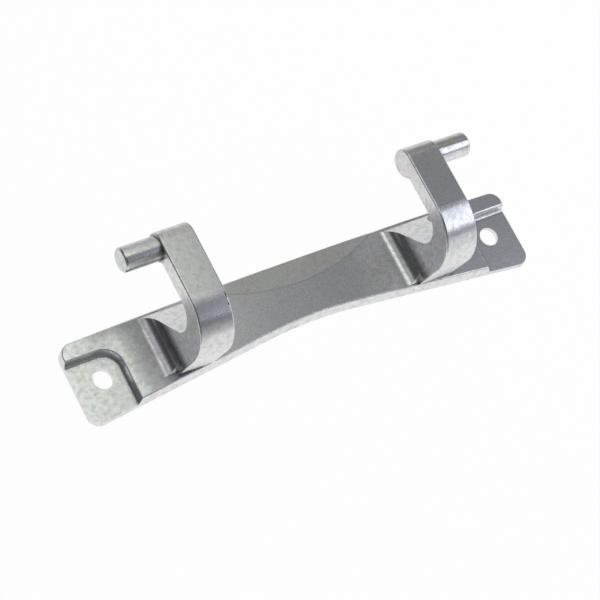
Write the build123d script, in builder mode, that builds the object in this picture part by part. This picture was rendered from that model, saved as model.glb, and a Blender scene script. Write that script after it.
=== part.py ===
from build123d import *

import os
from math import cos, radians, sin, sqrt, tan

# Washing machine door hinge: a one-piece die casting, with two hooked arms that carry the door's pivot pins.
# X runs along the plate, Y points from the row of screw holes to the pins, Z stands on the mounting face.

# Driving dimensions, in millimetres and degrees

# Mounting plate
plate_length = 170.0
plate_thickness = 4.4
rear_reach = 13.7           # row of holes to the rear edge, at the plate's ends
rear_crown = 1.3            # how far the rear edge bows out at the middle
front_reach = 5.6           # row of holes to the lower front edge, at the middle
front_arc_radius = 160.0    # hollow of the front edge, which clears the porthole ring
wing_angle = 6.1            # slope of the straight wings that run on from the hollow
front_lean = 12.0           # lean of the front rim, out towards the mounting face
corner_radius = 4.0
plate_edge_round = 0.5

# Shallow relief between the arms, which falls away from an arc to the rear edge
relief_radius = 75.0
relief_reach = 6.9          # row of holes to the arc, at the middle
relief_slope = 3.5

# Screw seats in the two front corners
hole_diameter = 6.6
hole_inset = 10.0           # plate end to hole centre
seat_depth = 2.7
seat_side_room = 7.8        # hole centre to the upper edge of the seat's inner wall
seat_rear_room = 8.4        # hole centre to the upper edge of the seat's rear wall
seat_corner_radius = 6.5
seat_wall_slope = 22.0
seat_foot_round = 0.9

# Hooked arms, whose sides spread towards the plate
arm_inset = 32.6            # plate end to the arm's outer side, at the arm's top
arm_width = 12.0            # across the arm's top
arm_thickness = 5.8
arm_draft = 1.0
arm_edge_round = 0.6
bend_radius = 15.4
leg_lean = 7.4              # lean of the leg's front face, out over the rim
gusset_angle = 46.5
gusset_toe = 0.7            # land between the rear edge and the gusset's toe
throat_radius = 7.0
root_radius = 4.7           # hollow between the arm's sides and the plate
root_setback = 1.0          # leg's front face to the front end of that hollow
root_front_slope = 60.0     # how steeply the hollow's front end rises

# Pivot pins
pin_diameter = 8.0
pin_length = 12.7
pin_end_round = 0.9
pin_height = 30.0           # mounting face to pin axis
pin_setback = 24.7          # row of holes to pin axis
boss_shoulder = 0.85        # step from the pin out to its boss

# Worked-out places
half_length = plate_length / 2
hole_x = half_length - hole_inset
arm_outer = half_length - arm_inset
arm_inner = arm_outer - arm_width
boss_radius = pin_diameter / 2 + boss_shoulder
arm_top = pin_height + boss_radius
arm_underside = arm_top - arm_thickness
embed = plate_thickness / 2
embed_z = plate_thickness - embed
hollow_half_width = front_arc_radius * sin(radians(wing_angle))
hollow_depth = front_arc_radius * (1 - cos(radians(wing_angle)))
rear_radius = (half_length**2 + rear_crown**2) / (2 * rear_crown)
clear = 10.0                # how far a cutting shape runs past what it cuts


def wing_y(x):
    """Y of the lower front edge on its straight wing, at a distance x from the middle."""
    return -front_reach - hollow_depth - (x - hollow_half_width) * tan(radians(wing_angle))


def rear_y(x):
    """Y of the bowed rear edge, at a distance x from the middle."""
    return rear_reach + rear_crown - rear_radius + sqrt(rear_radius**2 - x**2)


def spread(z):
    """How far an arm's side stands outside its place at the arm's top, at height z."""
    return (arm_top - z) * tan(radians(arm_draft))


rim_run = plate_thickness * tan(radians(front_lean))
leg_foot_y = wing_y(arm_inner) + rim_run
leg_corner_y = leg_foot_y - (arm_top - plate_thickness) * tan(radians(leg_lean))
root_run = root_radius * tan(radians(90 - arm_draft) / 2)
root_top = plate_thickness + root_run * cos(radians(arm_draft))
root_inner = arm_inner - spread(plate_thickness) - root_run
root_outer = arm_outer + spread(plate_thickness) + root_run
root_front_y = leg_foot_y + root_setback
toe_y = rear_y(root_outer) - gusset_toe
throat_corner_y = toe_y - (arm_underside - plate_thickness) / tan(radians(gusset_angle))
plate_front_y = wing_y(half_length)

# One arm: a side profile with its boss, carried across the arm's width and trimmed to the drafted sides
with BuildPart() as arm:
    with BuildSketch(Plane.YZ.offset(root_inner)):
        with BuildLine():
            back = FilletPolyline(
                (pin_setback, arm_top),
                (leg_corner_y, arm_top),
                (leg_foot_y, plate_thickness),
                radius=bend_radius,
            )
            throat = FilletPolyline(
                (pin_setback, arm_underside),
                (throat_corner_y, arm_underside),
                (toe_y, plate_thickness),
                radius=throat_radius,
            )
            Line(back @ 0, throat @ 0)
            Polyline(back @ 1, (leg_foot_y, embed_z), (toe_y, embed_z), throat @ 1)
        make_face()
        with Locations((pin_setback, pin_height)):
            Circle(boss_radius)
    extrude(amount=root_outer - root_inner)

    with BuildSketch(Plane.XZ.offset(-leg_corner_y + clear)):
        with BuildLine():
            Polyline(
                (arm_inner - spread(embed_z), embed_z),
                (arm_outer + spread(embed_z), embed_z),
                (arm_outer + spread(arm_top + clear), arm_top + clear),
                (arm_inner - spread(arm_top + clear), arm_top + clear),
                close=True,
            )
        make_face()
    extrude(amount=-(pin_setback + boss_radius - leg_corner_y + 2 * clear), mode=Mode.INTERSECT)
    fillet(arm.edges().filter_by(Axis.Y).group_by(Axis.Z)[-1], radius=arm_edge_round)

    # The pin on its outer side
    with BuildSketch(Plane.YZ.offset(arm_outer)):
        with Locations((pin_setback, pin_height)):
            Circle(pin_diameter / 2)
    extrude(amount=pin_length)
    fillet(arm.edges().group_by(Axis.X)[-1], radius=pin_end_round)

# Its root: the arm's foot flares out into the plate on both sides, between sloping ends
with BuildPart() as root:
    with BuildSketch(Plane.XZ.offset(-root_front_y)):
        with BuildLine():
            inner = RadiusArc(
                (root_inner, plate_thickness),
                (arm_inner - spread(root_top), root_top),
                -root_radius,
            )
            outer = RadiusArc(
                (arm_outer + spread(root_top), root_top),
                (root_outer, plate_thickness),
                -root_radius,
            )
            Line(inner @ 1, outer @ 0)
            Polyline(outer @ 1, (root_outer, embed_z), (root_inner, embed_z), inner @ 0)
        make_face()
    extrude(amount=-(toe_y - root_front_y))
    root_height = root_top - plate_thickness
    with BuildSketch(Plane.YZ.offset(root_inner)):
        with BuildLine():
            Polyline(
                (root_front_y, embed_z),
                (toe_y, embed_z),
                (toe_y, plate_thickness),
                (toe_y - root_height / tan(radians(gusset_angle)), root_top),
                (root_front_y + root_height / tan(radians(root_front_slope)), root_top),
                (root_front_y, plate_thickness),
                close=True,
            )
        make_face()
    extrude(amount=root_outer - root_inner, mode=Mode.INTERSECT)

# The whole casting
with BuildPart() as door_hinge:
    # Plate blank with its bowed rear edge
    with BuildSketch():
        with BuildLine():
            rear = RadiusArc((half_length, rear_reach), (-half_length, rear_reach), -rear_radius)
            Polyline(
                rear @ 1,
                (-half_length, plate_front_y - clear),
                (half_length, plate_front_y - clear),
                rear @ 0,
            )
        make_face()
    extrude(amount=plate_thickness)

    # Front edge: the porthole clearance, a hollow with straight wings, leaning back as it rises
    with BuildSketch():
        with BuildLine():
            hollow = CenterArc(
                (0, -front_reach - front_arc_radius), front_arc_radius, 90 - wing_angle, 2 * wing_angle
            )
            wing_run = (half_length + clear - hollow_half_width) / cos(radians(wing_angle))
            right_wing = PolarLine(hollow @ 0, wing_run, -wing_angle)
            left_wing = PolarLine(hollow @ 1, wing_run, 180 + wing_angle)
            Polyline(
                right_wing @ 1,
                (half_length + clear, plate_front_y - 3 * clear),
                (-half_length - clear, plate_front_y - 3 * clear),
                left_wing @ 1,
            )
        make_face()
    extrude(amount=plate_thickness, taper=-front_lean, mode=Mode.SUBTRACT)

    upright = door_hinge.edges().filter_by(lambda edge: abs((edge % 0.5).Z) > 0.9)
    fillet(upright.filter_by(lambda edge: abs(edge.center().X) > half_length - 1), radius=corner_radius)

    # Screw seats, open to the front and to the ends, with a well rounded inner corner
    with BuildSketch(Plane.XY.offset(plate_thickness)):
        with Locations((hole_x - seat_side_room, seat_rear_room)):
            Rectangle(
                seat_side_room + hole_inset + clear,
                seat_rear_room - plate_front_y + clear,
                align=(Align.MIN, Align.MAX),
            )
        inner_corner = vertices().group_by(Axis.X)[0].sort_by(Axis.Y)[-1]
        fillet(inner_corner, radius=seat_corner_radius)
        mirror(about=Plane.YZ)
    extrude(amount=-seat_depth, taper=seat_wall_slope, mode=Mode.SUBTRACT)
    for side in (-1, 1):
        seat_floor = Vertex(side * hole_x, 0, plate_thickness - seat_depth)
        near = door_hinge.edges().filter_by(lambda edge: edge.distance_to(seat_floor) < seat_rear_room)
        fillet(near.group_by(Axis.Z)[0], radius=seat_foot_round)
    fillet(door_hinge.faces().sort_by(Axis.Z)[-1].edges(), radius=plate_edge_round)
    with Locations((-hole_x, 0, plate_thickness - seat_depth), (hole_x, 0, plate_thickness - seat_depth)):
        Hole(hole_diameter / 2)

    # Relief between the arms: a very flat cone, sunk into the plate's top from its arc to the rear edge
    relief_run = rear_y(0) - relief_reach + clear
    with Locations((0, relief_reach + relief_radius, plate_thickness)):
        Cone(
            bottom_radius=relief_radius - relief_run,
            top_radius=relief_radius,
            height=relief_run * tan(radians(relief_slope)),
            align=(Align.CENTER, Align.CENTER, Align.MAX),
            mode=Mode.SUBTRACT,
        )

    # Arms, roots and pins, the left ones mirrored from the right
    add(root.part)
    add(arm.part)
    mirror(root.part, about=Plane.YZ)
    mirror(arm.part, about=Plane.YZ)

os.makedirs("parts", exist_ok=True)
door_hinge.part.label = "door_hinge"
export_step(door_hinge.part, "parts/door_hinge.step")
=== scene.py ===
"""Looks of a washing machine door hinge: one bare die casting on a white studio floor.

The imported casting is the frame. This script softens its edges, gives it the skin of a cast zinc alloy and
sets the studio and the camera. Lengths are in metres and in the casting's own frame: X runs along the plate,
Y points from the screw holes to the pivot pins, and Z stands on the mounting face.
"""

import logging
import math
from collections.abc import Iterable
from dataclasses import dataclass
from enum import Enum
from typing import Any, Protocol

import bpy
from mathutils import Matrix, Vector


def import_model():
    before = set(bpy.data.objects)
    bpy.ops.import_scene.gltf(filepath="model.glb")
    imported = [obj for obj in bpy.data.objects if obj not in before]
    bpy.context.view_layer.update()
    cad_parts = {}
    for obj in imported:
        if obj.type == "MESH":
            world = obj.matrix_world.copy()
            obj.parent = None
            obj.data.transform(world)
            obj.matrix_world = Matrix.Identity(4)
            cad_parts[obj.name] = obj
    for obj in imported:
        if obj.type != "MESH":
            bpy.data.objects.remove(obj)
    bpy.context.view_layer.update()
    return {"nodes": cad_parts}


Colour = tuple[float, float, float]
Place = tuple[float, float, float]
Span = tuple[float, float]
Socket = bpy.types.NodeSocket

MM = 0.001
WHITE: Colour = (1.0, 1.0, 1.0)
log = logging.getLogger("door_hinge")


class RayKind(Enum):
    """Kinds of ray that a studio surface can tell apart."""

    CAMERA = "Is Camera Ray"
    GLOSSY = "Is Glossy Ray"
    TRANSMISSION = "Is Transmission Ray"


class Sum(Enum):
    """Arithmetic on one or two numbers."""

    SUBTRACT = "SUBTRACT"
    MULTIPLY = "MULTIPLY"
    MINIMUM = "MINIMUM"
    MAXIMUM = "MAXIMUM"
    LESS_THAN = "LESS_THAN"
    ABSOLUTE = "ABSOLUTE"


class VectorSum(Enum):
    """Arithmetic on two vectors that gives a vector."""

    SUBTRACT = "SUBTRACT"
    MULTIPLY = "MULTIPLY"
    DIVIDE = "DIVIDE"


class Measure(Enum):
    """Arithmetic on one or two vectors that gives a number."""

    LENGTH = "LENGTH"
    DISTANCE = "DISTANCE"
    DOT_PRODUCT = "DOT_PRODUCT"


class Blending(Enum):
    """Ways to bring a second colour into a first one."""

    MIX = "MIX"
    MULTIPLY = "MULTIPLY"


class NoiseOutput(Enum):
    """What a noise gives at a point."""

    NUMBER = "Fac"
    COLOUR = "Color"


class NodeBoard:
    """Node tree of one material or world, filled node by node."""

    def __init__(self, owner: bpy.types.Material | bpy.types.World) -> None:
        """Empties the owner's node tree.

        Args:
            owner: the material or world whose nodes are laid out.
        """
        owner.use_nodes = True
        self.tree = owner.node_tree
        self.tree.nodes.clear()

    def add(self, kind: str, inputs: dict[str | int, Any] | None = None, **settings: Any) -> bpy.types.Node:
        """Adds one node.

        Args:
            kind: Blender's name of the node type.
            inputs: for each input socket, a plain value or the output socket that feeds it.
            settings: properties of the node itself.

        Returns:
            The new node.
        """
        node = self.tree.nodes.new(kind)
        for name, setting in settings.items():
            setattr(node, name, setting)
        for name, source in (inputs or {}).items():
            if isinstance(source, Socket):
                self.tree.links.new(source, node.inputs[name])
            else:
                node.inputs[name].default_value = source
        return node

    def sum_up(self, way: Sum, first: Any, second: Any = 0.0) -> Socket:
        """Joins two numbers, or changes the first one, and returns the result's socket."""
        return self.add("ShaderNodeMath", {0: first, 1: second}, operation=way.value).outputs[0]

    def gap(self, first: Any, second: Any) -> Socket:
        """Returns the socket of how far apart two numbers are."""
        return self.sum_up(Sum.ABSOLUTE, self.sum_up(Sum.SUBTRACT, first, second))

    def largest(self, numbers: Iterable[Socket]) -> Socket:
        """Compares several numbers.

        Args:
            numbers: one or more sockets.

        Returns:
            The socket of the largest number.
        """
        result, *others = numbers
        for other in others:
            result = self.sum_up(Sum.MAXIMUM, result, other)
        return result

    def join(self, way: VectorSum, first: Any, second: Any) -> Socket:
        """Joins two vectors and returns the new vector's socket."""
        return self.add("ShaderNodeVectorMath", {0: first, 1: second}, operation=way.value).outputs["Vector"]

    def measure(self, way: Measure, first: Any, second: Any = (0.0, 0.0, 0.0)) -> Socket:
        """Measures one or two vectors and returns the number's socket."""
        return self.add("ShaderNodeVectorMath", {0: first, 1: second}, operation=way.value).outputs["Value"]

    def along(self, vector: Socket, axis: str) -> Socket:
        """Returns the socket of a vector's part along the axis X, Y or Z."""
        return self.add("ShaderNodeSeparateXYZ", {0: vector}).outputs[axis]

    def fade(self, value: Socket, span: Span, low: float = 0.0, high: float = 1.0) -> Socket:
        """Maps a number along one straight run and holds it past both ends.

        Args:
            value: the number to map.
            span: the numbers at which the run starts and ends.
            low: the result at the start.
            high: the result at the end.

        Returns:
            The mapped number's socket.
        """
        inputs = {"Value": value, "From Min": span[0], "From Max": span[1], "To Min": low, "To Max": high}
        return self.add("ShaderNodeMapRange", inputs).outputs[0]

    def ramp(self, source: Socket, stops: tuple[Span, ...]) -> Socket:
        """Maps a number through straight runs between stops.

        Args:
            source: the number to map.
            stops: pairs of a place from 0 to 1 and the value there.

        Returns:
            The mapped number's socket.
        """
        node = self.add("ShaderNodeValToRGB", {"Fac": source})
        elements = node.color_ramp.elements
        while len(elements) < len(stops):
            elements.new(0.5)
        for element, (place, value) in zip(elements, stops):
            element.position = place
            element.color = opaque((value, value, value))
        return node.outputs["Color"]

    def blend(self, share: Any, first: Any, second: Any, way: Blending = Blending.MIX) -> Socket:
        """Blends two colours.

        Args:
            share: how much of the second colour comes in, from 0 to 1.
            first: the first colour or its socket.
            second: the second colour or its socket.
            way: how the second colour comes in.

        Returns:
            The blended colour's socket.
        """
        inputs = {0: share, 6: first, 7: second}
        return self.add("ShaderNodeMix", inputs, data_type="RGBA", blend_type=way.value).outputs[2]


def opaque(colour: Colour) -> tuple[float, float, float, float]:
    """Returns the colour with a full alpha."""
    return (*colour, 1.0)


@dataclass(frozen=True)
class Grain:
    """One layer of unevenness in the cast skin.

    size is the width of its bumps, height their depth, fineness the number of smaller layers on top of it and
    harshness the strength of those.
    """

    size: float
    height: float
    fineness: float
    harshness: float = 0.5

    def field(self, board: NodeBoard, place: Socket, kind: NoiseOutput = NoiseOutput.NUMBER) -> Socket:
        """Lays out the layer's noise.

        Args:
            board: where the node goes.
            place: the surface point, in metres.
            kind: whether a number or a colour is wanted.

        Returns:
            The socket of a number or colour around 0.5.
        """
        waves = {"Vector": place, "Scale": 1 / self.size}
        layers = {"Detail": self.fineness, "Roughness": self.harshness}
        return board.add("ShaderNodeTexNoise", {**waves, **layers}).outputs[kind.value]


class Mark(Protocol):
    """Something that darkens part of the casting."""

    def mask(self, board: NodeBoard, place: Socket) -> Socket:
        """Returns the socket of the mark's strength at a surface point, from 0 to 1."""


@dataclass(frozen=True)
class StepShadeLine:
    """The thin dark line of painted shade along the relief's arc, at its step on the plate's top."""

    centre: Place = (0.0, 81.9 * MM, 0.0)
    radius: float = 75.0 * MM
    half_width: float = 0.35 * MM
    plate_top: float = 4.4 * MM
    depth: float = 0.2 * MM
    share: float = 0.45

    def mask(self, board: NodeBoard, place: Socket) -> Socket:
        """Finds the line.

        Args:
            board: where the nodes go.
            place: the surface point, in metres.

        Returns:
            The socket of the line's strength, from 0 to share.
        """
        flat_place = board.join(VectorSum.MULTIPLY, place, (1.0, 1.0, 0.0))
        reach = board.measure(Measure.DISTANCE, flat_place, self.centre)
        # Painted shade: a thin dark line where the relief's step lies.
        line = board.fade(board.gap(reach, self.radius), (0.0, self.half_width), low=self.share, high=0.0)
        off_top = board.gap(board.along(place, "Z"), self.plate_top)
        return board.sum_up(Sum.MULTIPLY, line, board.sum_up(Sum.LESS_THAN, off_top, self.depth))


@dataclass(frozen=True)
class UndersideShade:
    """Painted shade on faces that look down, which darkens their colour.

    lean is the upward part of a face's normal, from no shade to full shade.
    """

    lean: Span = (-0.3, -0.8)

    def mask(self, board: NodeBoard, place: Socket) -> Socket:
        """Finds the faces that look down.

        Args:
            board: where the nodes go.
            place: the surface point, which this mark has no use for.

        Returns:
            The socket of the painted shade's strength, from 0 to 1.
        """
        normal = board.add("ShaderNodeTexCoord").outputs["Normal"]
        # Painted shade: faces that look down get darker.
        return board.fade(board.along(normal, "Z"), self.lean)


@dataclass(frozen=True)
class CornerShade:
    """Painted shade in the tight hollow corners.

    openness is the share of open view that a point has within reach, from no shade to full.
    """

    reach: float = 2.4 * MM
    openness: Span = (0.94, 0.64)
    share: float = 0.62

    def mask(self, board: NodeBoard, place: Socket) -> Socket:
        """Finds the corners.

        Args:
            board: where the nodes go.
            place: the surface point, which this mark has no use for.

        Returns:
            The socket of the painted shade's strength, from 0 on open faces to share.
        """
        # Painted shade: the less open view a point has, the darker it gets.
        view = board.add("ShaderNodeAmbientOcclusion", {"Distance": self.reach}, only_local=True)
        return board.fade(view.outputs["AO"], self.openness, high=self.share)


@dataclass(frozen=True)
class RootShade:
    """Painted shade on the steep half of the hollows at the arms' feet.

    axes are the distances of the hollows' middle lines from the hinge's middle, and height is theirs above
    the mounting face. The painted shade fades with the distance from those lines, in hollow radii, and comes
    in where the sideways part of a face's normal rises through slant.
    """

    axes: Span = (57.55 * MM, 35.25 * MM)
    height: float = 9.1 * MM
    radius: float = 4.7 * MM
    fading: Span = (1.45, 1.01)
    slant: Span = (0.35, 0.8)
    share: float = 0.58

    def mask(self, board: NodeBoard, place: Socket) -> Socket:
        """Finds the steep half of the hollows.

        Args:
            board: where the nodes go.
            place: the surface point, in metres.

        Returns:
            The socket of the painted shade's strength, from 0 to share.
        """
        across = board.sum_up(Sum.ABSOLUTE, board.along(place, "X"))
        aside = board.sum_up(Sum.MINIMUM, *(board.gap(across, axis) for axis in self.axes))
        rise = board.sum_up(Sum.SUBTRACT, board.along(place, "Z"), self.height)
        offset = board.add("ShaderNodeCombineXYZ", {0: aside, 1: rise}).outputs[0]
        none, full = (radii * self.radius for radii in self.fading)
        near = board.fade(board.measure(Measure.LENGTH, offset), (none, full), high=self.share)
        normal = board.add("ShaderNodeTexCoord").outputs["Normal"]
        steep = board.fade(board.sum_up(Sum.ABSOLUTE, board.along(normal, "X")), self.slant)
        # Painted shade: darker near the hollows' middle lines and where the hollow is steep.
        return board.sum_up(Sum.MULTIPLY, near, steep)


@dataclass(frozen=True)
class Scuff:
    """A small dark scrape.

    half_size is how far it reaches from its middle along X, Y and Z, and fading the share of that reach from
    no scrape to full.
    """

    middle: Place
    half_size: Place
    fading: Span = (1.0, 0.4)

    def mask(self, board: NodeBoard, place: Socket) -> Socket:
        """Finds the scrape.

        Args:
            board: where the nodes go.
            place: the surface point, in metres.

        Returns:
            The socket of the scrape's strength, from 0 to 1.
        """
        away = board.join(VectorSum.SUBTRACT, place, self.middle)
        reach = board.measure(Measure.LENGTH, board.join(VectorSum.DIVIDE, away, self.half_size))
        return board.fade(reach, self.fading)


@dataclass(frozen=True)
class CastSkin:
    """Bare cast zinc alloy: matt grey metal with a fine speckle, faint flow marks, two small scuffs and
    painted shade in its hollows, on its downward faces and along the relief's step.

    fleck_stops give the speckle's darkening, speckle_span the part of the speckle's range that changes the
    gloss, and roughness the values at that span's ends.
    """

    name: str = "cast_alloy"
    grey: Colour = (0.86, 0.86, 0.86)
    shade: Colour = (0.80, 0.805, 0.805)
    # film is the colour of the painted shade on downward faces and along the relief's step.
    film: Colour = (0.38, 0.38, 0.38)
    scuff_and_shade_colour: Colour = (0.12, 0.115, 0.11)
    speckle: Grain = Grain(size=1.6 * MM, height=0.0045 * MM, fineness=1.0, harshness=0.6)
    fleck_stops: tuple[Span, ...] = ((0.28, 0.77), (0.50, 0.92), (0.75, 1.0))
    speckle_span: Span = (0.3, 0.7)
    roughness: Span = (0.31, 0.26)
    mottle: Grain = Grain(size=9.0 * MM, height=0.014 * MM, fineness=2.0)
    tint: Grain = Grain(size=3.5 * MM, height=0.0, fineness=1.0)
    tint_share: float = 0.10
    # Painted shade marks: the relief's step line and downward faces take the film colour; corners and the
    # arms' feet take the darker colour, as do two scuffs.
    painted_shade_marks: tuple[Mark, ...] = (StepShadeLine(), UndersideShade())
    scuffs_and_painted_shade: tuple[Mark, ...] = (
        CornerShade(),
        RootShade(),
        Scuff(middle=(-41.0 * MM, 2.2 * MM, 34.5 * MM), half_size=(0.35 * MM, 1.5 * MM, 0.8 * MM)),
        Scuff(middle=(-41.2 * MM, -0.6 * MM, 33.6 * MM), half_size=(0.4 * MM, 0.5 * MM, 0.6 * MM)),
    )

    def material(self) -> bpy.types.Material:
        """Builds the finish.

        Returns:
            The procedural material.
        """
        material = bpy.data.materials.new(self.name)
        board = NodeBoard(material)
        place = board.add("ShaderNodeTexCoord").outputs["Object"]
        speckle = self.speckle.field(board, place)
        mottle = self.mottle.field(board, place)

        tone = board.blend(mottle, opaque(self.shade), opaque(self.grey))
        tinted = board.blend(self.tint_share, tone, self.tint.field(board, place, NoiseOutput.COLOUR))
        colour = board.blend(1.0, tinted, board.ramp(speckle, self.fleck_stops), Blending.MULTIPLY)
        # Painted shade along the relief's step and on downward faces.
        for mark in self.painted_shade_marks:
            colour = board.blend(mark.mask(board, place), colour, opaque(self.film))
        # Painted shade in corners and at the arms' feet, together with two scuffs.
        scuffs_and_painted_shade = board.largest(mark.mask(board, place) for mark in self.scuffs_and_painted_shade)
        colour = board.blend(scuffs_and_painted_shade, colour, opaque(self.scuff_and_shade_colour))

        dull, glossy = self.roughness
        gloss = board.fade(speckle, self.speckle_span, low=dull, high=glossy)
        waves = board.add("ShaderNodeBump", {"Height": mottle, "Distance": self.mottle.height})
        grain_inputs = {"Height": speckle, "Distance": self.speckle.height, "Normal": waves.outputs[0]}
        grains = board.add("ShaderNodeBump", grain_inputs)
        shader = board.add(
            "ShaderNodeBsdfPrincipled",
            {"Base Color": colour, "Metallic": 1.0, "Roughness": gloss, "Normal": grains.outputs[0]},
        )
        board.add("ShaderNodeOutputMaterial", {"Surface": shader.outputs[0]})
        return material


@dataclass
class HingeCasting:
    """The hinge itself: plate, hooked arms and pivot pins in one casting."""

    node: bpy.types.Object
    seam: float = 0.001 * MM
    flat_angle: float = math.radians(0.05)
    edge_round: float = 0.25 * MM
    edge_segments: int = 2
    edge_angle: float = math.radians(28)

    def soften_edges(self) -> None:
        """Breaks the sharp edges that no fillet took, as tumbling does to a casting."""
        weld = self.node.modifiers.new("weld", "WELD")
        weld.merge_threshold = self.seam
        flats = self.node.modifiers.new("flats", "DECIMATE")
        flats.decimate_type = "DISSOLVE"
        flats.angle_limit = self.flat_angle
        rounding = self.node.modifiers.new("edge_round", "BEVEL")
        rounding.width = self.edge_round
        rounding.segments = self.edge_segments
        rounding.limit_method = "ANGLE"
        rounding.angle_limit = self.edge_angle
        rounding.harden_normals = True
        shading = self.node.modifiers.new("shading", "WEIGHTED_NORMAL")
        shading.keep_sharp = True

    def dress(self, skin: CastSkin) -> None:
        """Puts the cast skin on the whole casting."""
        self.node.data.materials.clear()
        self.node.data.materials.append(skin.material())


@dataclass(frozen=True)
class Softbox:
    """One rectangular studio lamp, which looks straight down unless it has an aim.

    A glow of 1 is as bright as white paper in full light.
    """

    name: str
    place: Place
    width: float
    depth: float
    glow: float
    colour: Colour = WHITE
    aim: Place | None = None

    def build(self) -> bpy.types.Object:
        """Hangs the lamp.

        Returns:
            The lamp's object.
        """
        lamp = bpy.data.lights.new(self.name, "AREA")
        lamp.shape = "RECTANGLE"
        lamp.size = self.width
        lamp.size_y = self.depth
        lamp.energy = self.glow * math.pi * self.width * self.depth
        lamp.color = self.colour
        box = bpy.data.objects.new(self.name, lamp)
        box.location = self.place
        aim = self.aim or (*self.place[:2], 0.0)
        box.rotation_euler = (Vector(aim) - Vector(self.place)).to_track_quat("-Z", "Y").to_euler()
        bpy.context.scene.collection.objects.link(box)
        return box


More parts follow.
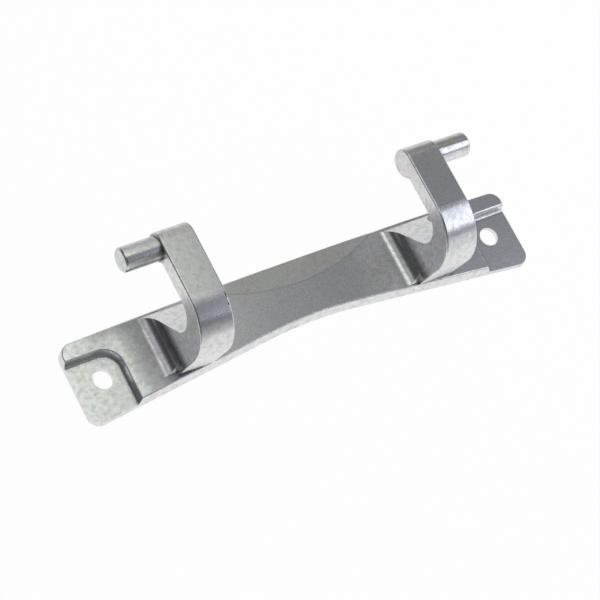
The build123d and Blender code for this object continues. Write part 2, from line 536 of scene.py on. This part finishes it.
@dataclass
class Studio:
    """White floor, grey surroundings and softboxes.

    The floor shows a little dimmer in reflections behind the hinge, where it carries a painted shadow of the
    hinge, and much dimmer far to its left. Each span gives where such a dimming starts and is full. The walls
    turn from lit to dark along wall_turn, the share of a direction that points to the dark side, and end
    where a direction's rise reaches wall_top.
    """

    floor_width: float = 8.0
    floor_glow: float = 0.975
    floor_grey: Colour = (0.95, 0.95, 0.95)
    rear_dimming: float = 0.18
    rear_span: Span = (0.015, 0.05)
    left_dimming: float = 0.85
    left_span: Span = (-0.10, -0.22)
    ceiling: Colour = (0.135, 0.14, 0.16)
    lit_wall: Colour = (0.64, 0.63, 0.64)
    dark_wall: Colour = (0.08, 0.08, 0.08)
    dark_side: Place = (-0.90, 0.43, 0.0)
    wall_turn: Span = (-0.4, 0.5)
    wall_top: float = 0.50
    softboxes: tuple[Softbox, ...] = (
        Softbox("overhead_softbox", (0.045, 0.24, 0.50), 0.24, 0.52, 1.18, (0.97, 1.0, 0.91)),
        Softbox("left_softbox", (-0.42, 0.18, 0.50), 0.26, 0.36, 0.58),
        Softbox("near_left_softbox", (-0.19, 0.18, 0.50), 0.20, 0.36, 0.34),
        Softbox("rear_softbox", (0.36, 0.42, 0.50), 0.32, 0.40, 0.22, (1.0, 0.98, 0.70)),
        Softbox("back_softbox", (0.11, 0.80, 0.45), 0.60, 0.60, 0.4, aim=(0.0, 0.0, 0.03)),
        Softbox("right_softbox", (0.55, -0.225, 0.50), 0.46, 0.55, 1.9, (0.84, 0.88, 1.0)),
        Softbox("low_softbox", (0.66, -0.66, 0.22), 0.40, 0.26, 0.8, (0.88, 0.92, 1.0), (0.05, 0.0, 0.02)),
    )

    def seen_directly(self, board: NodeBoard, kinds: Iterable[RayKind]) -> Socket:
        """Tells which rays look straight at a studio surface.

        Args:
            board: where the nodes go.
            kinds: the kinds of ray that count.

        Returns:
            The socket of a number that is 1 for those rays and 0 for others.
        """
        rays = board.add("ShaderNodeLightPath")
        return board.largest(rays.outputs[kind.value] for kind in kinds)

    def floor_material(self) -> bpy.types.Material:
        """Builds the floor's finish, which shows white by itself and keeps a soft shadow.

        Returns:
            The procedural material.
        """
        material = bpy.data.materials.new("white_floor")
        board = NodeBoard(material)
        place = board.add("ShaderNodeNewGeometry").outputs["Position"]
        # Painted shadow of the hinge on the floor, seen only in reflections behind it.
        rear = board.fade(board.along(place, "Y"), self.rear_span, high=self.rear_dimming)
        left = board.fade(board.along(place, "X"), self.left_span, high=self.left_dimming)
        mirrored = self.seen_directly(board, [RayKind.GLOSSY])
        loss = board.sum_up(Sum.MULTIPLY, board.largest([rear, left]), mirrored)
        glow = board.add("ShaderNodeEmission", {"Strength": board.sum_up(Sum.SUBTRACT, 1.0, loss)})
        paper = board.add("ShaderNodeBsdfDiffuse", {"Color": opaque(self.floor_grey)})
        share = board.sum_up(Sum.MULTIPLY, self.seen_directly(board, RayKind), self.floor_glow)
        surface = board.add("ShaderNodeMixShader", {0: share, 1: paper.outputs[0], 2: glow.outputs[0]})
        board.add("ShaderNodeOutputMaterial", {"Surface": surface.outputs[0]})
        return material

    def build_floor(self) -> bpy.types.Object:
        """Lays the white floor.

        Returns:
            The floor's object.
        """
        half = self.floor_width / 2
        corners = [(-half, -half, 0), (half, -half, 0), (half, half, 0), (-half, half, 0)]
        mesh = bpy.data.meshes.new("floor")
        mesh.from_pydata(corners, [], [(0, 1, 2, 3)])
        mesh.materials.append(self.floor_material())
        floor = bpy.data.objects.new("floor", mesh)
        bpy.context.scene.collection.objects.link(floor)
        return floor

    def build_surroundings(self) -> bpy.types.World:
        """Sets the room's light, which is white where the camera looks past the floor.

        Returns:
            The world.
        """
        world = bpy.data.worlds.new("studio")
        bpy.context.scene.world = world
        board = NodeBoard(world)
        direction = board.add("ShaderNodeTexCoord").outputs["Generated"]
        turn = board.fade(board.measure(Measure.DOT_PRODUCT, direction, self.dark_side), self.wall_turn)
        walls = board.blend(turn, opaque(self.lit_wall), opaque(self.dark_wall))
        rise = board.fade(board.along(direction, "Z"), (0.0, self.wall_top))
        room = board.blend(rise, walls, opaque(self.ceiling))
        colour = board.blend(self.seen_directly(board, [RayKind.CAMERA]), room, opaque(WHITE))
        background = board.add("ShaderNodeBackground", {"Color": colour, "Strength": 1.0})
        board.add("ShaderNodeOutputWorld", {"Surface": background.outputs[0]})
        return world

    def build(self) -> None:
        """Builds floor, surroundings and lamps."""
        self.build_floor()
        self.build_surroundings()
        for softbox in self.softboxes:
            softbox.build()


@dataclass(frozen=True)
class ProductCamera:
    """A long lens above the hinge's left front, tilted about its own axis.

    Angles are in degrees: azimuth 0 looks along +Y, elevation counts from the floor, and roll turns the
    frame. lens and film_width are in millimetres.
    """

    target: Place = (0.0, 2.659 * MM, 0.0)
    distance: float = 695.06 * MM
    azimuth: float = -62.399
    elevation: float = 57.956
    roll: float = 38.148
    lens: float = 128.863
    film_width: float = 36.0
    shift: Span = (-0.0005, -0.0010)

    def build(self) -> bpy.types.Object:
        """Sets up the camera and makes it the scene's own.

        Returns:
            The camera's object.
        """
        turn = math.radians(self.azimuth)
        rise = math.radians(self.elevation)
        back = Vector((math.sin(turn) * math.cos(rise), -math.cos(turn) * math.cos(rise), math.sin(rise)))
        level = (
            Matrix.Rotation(turn, 4, "Z")
            @ Matrix.Rotation(math.pi / 2 - rise, 4, "X")
            @ Matrix.Rotation(math.radians(self.roll), 4, "Z")
        )
        film = bpy.data.cameras.new("camera")
        film.lens = self.lens
        film.sensor_width = self.film_width
        film.sensor_fit = "HORIZONTAL"
        film.shift_x, film.shift_y = self.shift
        camera = bpy.data.objects.new("camera", film)
        camera.matrix_world = Matrix.Translation(Vector(self.target) + self.distance * back) @ level
        bpy.context.scene.collection.objects.link(camera)
        bpy.context.scene.camera = camera
        return camera


def main() -> None:
    """Dresses the casting and sets the studio and the camera."""
    logging.basicConfig(level=logging.INFO, format="%(name)s: %(message)s")
    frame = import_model()
    bpy.context.scene.view_settings.view_transform = "Standard"

    casting = HingeCasting(frame["nodes"]["door_hinge"])
    casting.soften_edges()
    casting.dress(CastSkin())
    log.info("hinge casting: edges softened, cast skin on")

    studio = Studio()
    studio.build()
    log.info("studio: floor, surroundings and %d softboxes", len(studio.softboxes))
    ProductCamera().build()
    log.info("camera: set at the product's left front")


if __name__ == "__main__":
    main()
